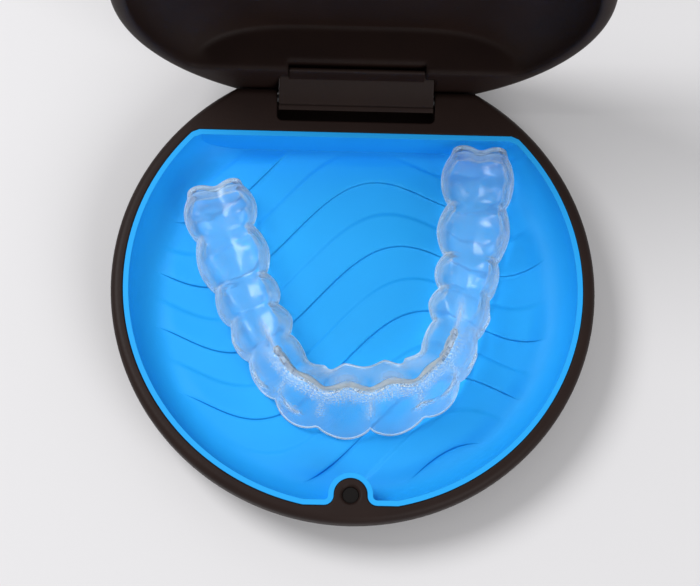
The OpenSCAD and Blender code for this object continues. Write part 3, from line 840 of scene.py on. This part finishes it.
def keys(s):
    """Key points of the section at a length along the teeth."""
    run = min(abs(s), SIDE_LEN)
    tooth = tooth_at(run)
    phase = (run - ENDS[tooth]) / TEETH[tooth][0]
    swell = swelling(run)
    front = fade(run, *CALM_OUT)
    wave = math.cos(2 * math.pi * phase)
    inner_swell = swell + (0.5 - wave / 2 - swell) * front
    end = max(0, run - SIDE_LEN + END_RUN) / END_RUN
    curl = math.sqrt(1 - (END_CURL * end) ** 2)
    cusps = CUSP * between(run, [CUSPS_FROM, CUSPS_FULL], [0, 1]) * -math.cos(4 * math.pi * phase)
    points = []
    for i, lift in enumerate(EDGE_SHARE):
        out = between(run, MIDS, [t[1][i][0] for t in TEETH])
        side_swell, pinch = (swell, OUTER_PINCH) if out > 0 else (inner_swell, INNER_PINCH)
        if out <= 0:
            pinch *= 1 - FRONT_CALM * front
        out *= curl * (1 - pinch * (1 - side_swell))
        rise = SCALLOP * (1 - side_swell) + END_RISE * end * end
        high = between(run, MIDS, [t[1][i][1] for t in TEETH]) + lift * rise
        if i in TOP:
            high += cusps * (i != GROOVE) - DIP * (1 - swell)
            out += RIDGE_WAVE * wave * fade(run, *RIDGE_WAVE_OUT)
        points.append(Vector((out, high)))
    return points


def on_curve(points, t):
    """A smooth curve through the key points, from 0 to 1."""
    t = min(t, 1) * (len(points) - 1)
    i = min(int(t), len(points) - 2)
    t -= i
    a, b, c, d = (points[min(max(j, 0), len(points) - 1)] for j in range(i - 1, i + 3))
    return 0.5 * (
        2 * b + (c - a) * t + (2 * a - 5 * b + 4 * c - d) * t**2 + (3 * b - a - 3 * c + d) * t**3
    )


def skin(points, t):
    """A point on the outside of the sheet."""
    d = on_curve(points, min(1, t + CURVE_STEP)) - on_curve(points, max(0, t - CURVE_STEP))
    return on_curve(points, t) + Vector((d.y, -d.x)).normalized() * WALL


print(f"the sheet stands {skin(keys(MIDS[0]), 0.5).y:.1f} mm high over the first tooth")

# %% [markdown]
# ## Haze of the sheet
#
# The tray is clear PETG. It looks pale where the sheet is seen on edge and cloudy where it was
# stretched, and specks break up the cloud. A picture of the haze could be painted, but two
# attributes of the points will do: "haze" says how cloudy a place is, and how pale the buttons
# are as a painted highlight, and "scuff" marks the worn ridge of the front teeth. The specks lie
# on the sheet's own map, as they were formed with it.

# %% Haze of the sheet
SPECK, FROST_DEPTH = 0.3, 0.05  # mm
ARCH_LEN, SECTION_LEN = 2 * SIDE_LEN, 28.0  # what the sheet's own map spans

sheet_clear, tree, shader = material("clear_formed_petg")
sheet_map = add(tree, "ShaderNodeUVMap", {"uv_map": "sheet"})
speck_map = add(tree, "ShaderNodeMapping", None, {
    "Vector": sheet_map.outputs["UV"],
    "Scale": (ARCH_LEN / SPECK, SECTION_LEN / SPECK, 1),
})
speck = add(tree, "ShaderNodeTexNoise", None, {
    "Vector": speck_map.outputs["Vector"], "Scale": 1.0, "Detail": 4.0, "Roughness": 0.6,
})
speckle = add(tree, "ShaderNodeMapRange", None, {
    "Value": speck.outputs["Fac"], "From Min": 0.47, "From Max": 0.66, "To Min": 0.1, "To Max": 2.0,
})
haze_and_glint_in = add(tree, "ShaderNodeAttribute", {"attribute_name": "haze"})
haze = add(tree, "ShaderNodeMath", {"operation": "MULTIPLY"}, {
    0: haze_and_glint_in.outputs["Fac"], 1: speckle.outputs["Result"],
})
facing = add(tree, "ShaderNodeLayerWeight", None, {"Blend": 0.5})
on_edge = add(tree, "ShaderNodeMapRange", None, {
    "Value": facing.outputs["Facing"], "From Min": 0.42, "To Max": 0.85,
})
pale = add(tree, "ShaderNodeMath", {"operation": "ADD", "use_clamp": True}, {
    0: haze.outputs["Value"], 1: on_edge.outputs["Result"],
})
scuffed = add(tree, "ShaderNodeAttribute", {"attribute_name": "scuff"})
worn = add(tree, "ShaderNodeMath", {"operation": "MAXIMUM"}, {
    0: pale.outputs["Value"], 1: scuffed.outputs["Fac"],
})
frost = add(tree, "ShaderNodeBump", None, {
    "Strength": 0.5, "Distance": FROST_DEPTH * MM, "Height": speck.outputs["Fac"],
})
print(f"specks of {SPECK} mm on a sheet of {ARCH_LEN:.0f} by {SECTION_LEN:.0f} mm")

# %% [markdown]
# ## Light through the sheet
#
# Nearly all light goes through the sheet, less where it is pale, and it is blurred where it is
# worn. A glass shader alone would throw a deep shadow on the liner, as lamps don't shine through
# it. So a Transparent shader takes over for shadow rays, and for a share of the light along the
# ridge. That share is given, and so is a refraction below the 1.57 of solid PETG: with the real
# value the ridge shows too much of the dark lid.

# %% Light through the sheet
CLEAREST, PALEST = 0.98, 0.25
SMOOTHEST, ROUGHEST = 0.15, 0.35
REFRACTION = 1.25
UNBENT_AT_RIDGE = 0.35

clear = add(tree, "ShaderNodeMapRange", None, {
    "Value": pale.outputs["Value"], "To Min": CLEAREST, "To Max": PALEST,
})
rough = add(tree, "ShaderNodeMapRange", None, {
    "Value": worn.outputs["Value"], "To Min": SMOOTHEST, "To Max": ROUGHEST,
})
fill(shader, {
    "Transmission Weight": clear.outputs["Result"], "Roughness": rough.outputs["Result"],
    "Normal": frost.outputs["Normal"], "Base Color": srgb("#ECF0F0"),
    "IOR": REFRACTION, "Specular IOR Level": 0.4,
})
path = add(tree, "ShaderNodeLightPath")
unbent = add(tree, "ShaderNodeMath", {"operation": "MULTIPLY_ADD", "use_clamp": True}, {
    0: scuffed.outputs["Fac"], 1: UNBENT_AT_RIDGE, 2: path.outputs["Is Shadow Ray"],
})
passing = add(tree, "ShaderNodeBsdfTransparent", None, {"Color": srgb("#D6DEE3")})
mixed = add(tree, "ShaderNodeMixShader", None, {
    0: unbent.outputs["Value"], 1: shader.outputs["BSDF"], 2: passing.outputs["BSDF"],
})
fill(tree.nodes["Material Output"], {"Surface": mixed.outputs["Shader"]})
print("made", sheet_clear.name)

# %% [markdown]
# ## Trimmed edge
#
# The edge of the sheet was cut with a burr and polished: whiter than the sheet, and softer. The
# sheet's own material could be blended there, but a second one on the rim of the wall is simpler.

# %% Trimmed edge
sheet_edge, tree, shader = material("trimmed_petg_edge")
fill(shader, {
    "Base Color": srgb("#F4F7F8"), "Roughness": 0.35, "Transmission Weight": 0.5, "IOR": 1.45,
})
print("made", sheet_edge.name)

# %% [markdown]
# ## Marks on the sheet
#
# Small buttons sit on some of the teeth, and the sheet bulges over them. They could be separate
# shapes, but on the real tray they are formed into the one sheet, so they are a height that is
# added to it. Haze and wear are worked out for a place on the sheet in the same way: its length
# along the teeth, and the share of the way over the section, from the outer edge to the inner.

# %% Marks on the sheet
# Buttons on the outside of the teeth: place along them and up the section, half length, height.
BUTTONS = [
    (-26.0, 0.12, 1.4, 0.4), (-18.6, 0.11, 1.5, 0.5), (-12.0, 0.14, 1.5, 0.35),
    (8.6, 0.17, 1.8, 0.2), (12.6, 0.16, 1.6, 0.2), (18.8, 0.10, 1.5, 0.5), (25.4, 0.13, 1.4, 0.4),
]
BUTTON_UP = 0.024
RIDGE, RIDGE_HALF = 0.5, 0.05
WEAR_OUT, CLOUD_OUT = (22, 29), (15, 26)  # lengths along the teeth where these run out
# Cloudy zones: middle on the section, where a zone starts to fade and where it ends, strength.
BELOW_RIDGE = (0.4, 0.08, 0.16, 0.4)
TOOTH_GAPS = (0.3, 0.14, 0.22, 0.6)
MOLAR_TOPS = (0.5, 0.12, 0.24, 0.05)
HAZE_ALL, HAZE_RIDGE = 0.05, 0.9


def button(s, t):
    """Height of the small buttons at a place on the sheet."""
    total = 0.0
    for at, up_side, half, high in BUTTONS:
        away = ((s - at) / half) ** 4 + ((t - up_side) / BUTTON_UP) ** 4
        total += high * math.exp(-away)
    return total


def scuff(s, t):
    """How worn the sheet is: along the ridge of the front teeth."""
    return fade(abs(s), *WEAR_OUT) * math.exp(-(((t - RIDGE) / RIDGE_HALF) ** 2))


def zone(t, middle, start, end, strength):
    """How cloudy a zone of the section is."""
    return strength * fade(abs(t - middle), start, end)


def haze_and_glint(s, t, swell):
    """Haze on and below the ridge, between front teeth, and painted highlight on buttons."""
    front = fade(abs(s), *CLOUD_OUT)
    gap = (1 - swell) ** 3 * zone(t, *TOOTH_GAPS)
    cloud = front * max(zone(t, *BELOW_RIDGE), gap) + (1 - front) * zone(t, *MOLAR_TOPS)
    # button(s, t) is painted highlight: the sheet turns pale over the buttons for their glints.
    return HAZE_ALL + cloud + HAZE_RIDGE * scuff(s, t) + button(s, t)


print(len(BUTTONS), "buttons, the highest", max(high for *_, high in BUTTONS), "mm")

# %% [markdown]
# ## Bending the sheet
#
# A real tray starts as a flat sheet that is drawn over the teeth, and so does this one. It is a
# grid with a map of its own. One way runs along the arch and the other over the section, and each
# point is moved to its place. The rows beyond the last teeth are drawn down to close the ends,
# with a shallow notch in the middle.

# %% Bend the sheet
STATIONS, ROWS, END_ROWS = 304, 84, 6
NOTCH, NOTCH_HALF = 0.6, 1.6
END_DROP = 0.6
TRAY_PLACE, TRAY_TURN = (2.9, -20.1, 4.4), 6
TRAY_AT = Matrix.Translation(TRAY_PLACE) @ Matrix.Rotation(math.radians(TRAY_TURN), 4, "Z")

tray = bmesh.new()
tray.loops.layers.uv.new("sheet")
haze_layer = tray.verts.layers.float.new("haze")
scuff_layer = tray.verts.layers.float.new("scuff")
# The grid is one unit wide, so that a place on it is also a share of the way.
bmesh.ops.create_grid(tray, x_segments=STATIONS, y_segments=ROWS, size=0.5, calc_uvs=True)
stations = {}
for vert in tray.verts:
    step = round((vert.co.x + 0.5) * STATIONS)
    t = vert.co.y + 0.5
    part = 2 * (step - END_ROWS) / (STATIONS - 2 * END_ROWS) - 1
    s = SIDE_LEN * min(1, max(-1, part))
    if s not in stations:
        stations[s] = keys(s)
    points = stations[s]
    at = skin(points, t)
    run = covered(s)
    if abs(part) >= 1:
        ending = max(0, END_ROWS - step, step - STATIONS + END_ROWS) / END_ROWS
        foot = min(points[0].y, points[-1].y) - END_DROP
        low = skin(points, 0).lerp(skin(points, 1), t)
        at = at.lerp(Vector((low.x, foot)), ending)
        run += math.copysign(WALL - NOTCH * math.exp(-((at.x / NOTCH_HALF) ** 2)), s)
    flat = arch_point(run) + arch_out(run) * (at.x + button(s, t))
    vert[haze_layer] = haze_and_glint(s, t, swelling(abs(s)))
    vert[scuff_layer] = scuff(s, t)
    vert.co = TRAY_AT @ Vector((flat.x, flat.y, at.y))
print(f"sheet of {len(tray.verts)} points bent over {len(stations)} sections")

# %% [markdown]
# ## Tray
#
# The bent sheet is the outside of the tray. Its faces have to look outwards, so that a Solidify
# modifier builds the wall on the inside and puts the trimmed finish on the rim. Two bent sheets
# could be bridged along their edges instead, but the modifier keeps the wall even by itself.

# %% Tray
ALL_SMOOTH = 180  # degrees

bmesh.ops.recalc_face_normals(tray, faces=tray.faces)
tray.normal_update()
if sum(face.normal.z * face.calc_area() for face in tray.faces) < 0:
    bmesh.ops.reverse_faces(tray, faces=tray.faces)
aligner = finished(
    "clear_tray", tray, sheet_clear, "tray", "aligner_tray", ALL_SMOOTH
)
aligner.data.materials.append(sheet_edge)
wall = aligner.modifiers.new("wall", "SOLIDIFY")
wall.thickness = WALL * MM
wall.offset = -1
wall.material_offset_rim = 1

# %% [markdown]
# ## Magnets
#
# A disc magnet sits in each boss, dark and coated. The CAD shapes are right as they are, so they
# stay and only get a finish: nearly black, with a gloss that changes a little from place to place.

# %% Magnets
COAT_SPECK = 0.4  # mm

coated, tree, shader = material("black_coated_magnet")
place = add(tree, "ShaderNodeTexCoord").outputs["Object"]
speck = add(tree, "ShaderNodeTexNoise", None, {"Vector": place, "Scale": 1 / (COAT_SPECK * MM)})
rough = add(tree, "ShaderNodeMapRange", None, {
    "Value": speck.outputs["Fac"], "To Min": 0.5, "To Max": 0.7,
})
fill(shader, {
    "Roughness": rough.outputs["Result"], "Base Color": srgb("#0E0A09"), "Specular IOR Level": 0.15,
})


def dressed(name, finish):
    """Gives a CAD node that stays its finish."""
    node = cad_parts[name]
    node.data.materials.clear()
    node.data.materials.append(finish)
    print(name, "in", finish.name)


dressed("base_magnet", coated)
dressed("lid_magnet", coated)

# %% [markdown]
# ## Hinge pin
#
# The pin is drawn steel wire, with fine lines along its length, and it keeps its CAD shape too. The
# lines could be an anisotropic gloss. A noise that is stretched along the pin is simpler, and it
# shows the same on so thin a wire.

# %% Hinge pin
WIRE_LINE = 0.1  # mm
ALONG_WIRE = 0.02  # how fast the noise runs along the pin: slowly, so that its grains are long

steel, tree, shader = material("drawn_steel_wire")
place = add(tree, "ShaderNodeTexCoord").outputs["Object"]
lines = add(tree, "ShaderNodeMapping", None, {"Vector": place, "Scale": (ALONG_WIRE, 1, 1)})
draw = add(tree, "ShaderNodeTexNoise", None, {
    "Vector": lines.outputs["Vector"], "Scale": 1 / (WIRE_LINE * MM),
})
rough = add(tree, "ShaderNodeMapRange", None, {
    "Value": draw.outputs["Fac"], "To Min": 0.22, "To Max": 0.42,
})
fill(shader, {
    "Roughness": rough.outputs["Result"], "Base Color": srgb("#7C7D80"), "Metallic": 1.0,
})
dressed("hinge_pin", steel)
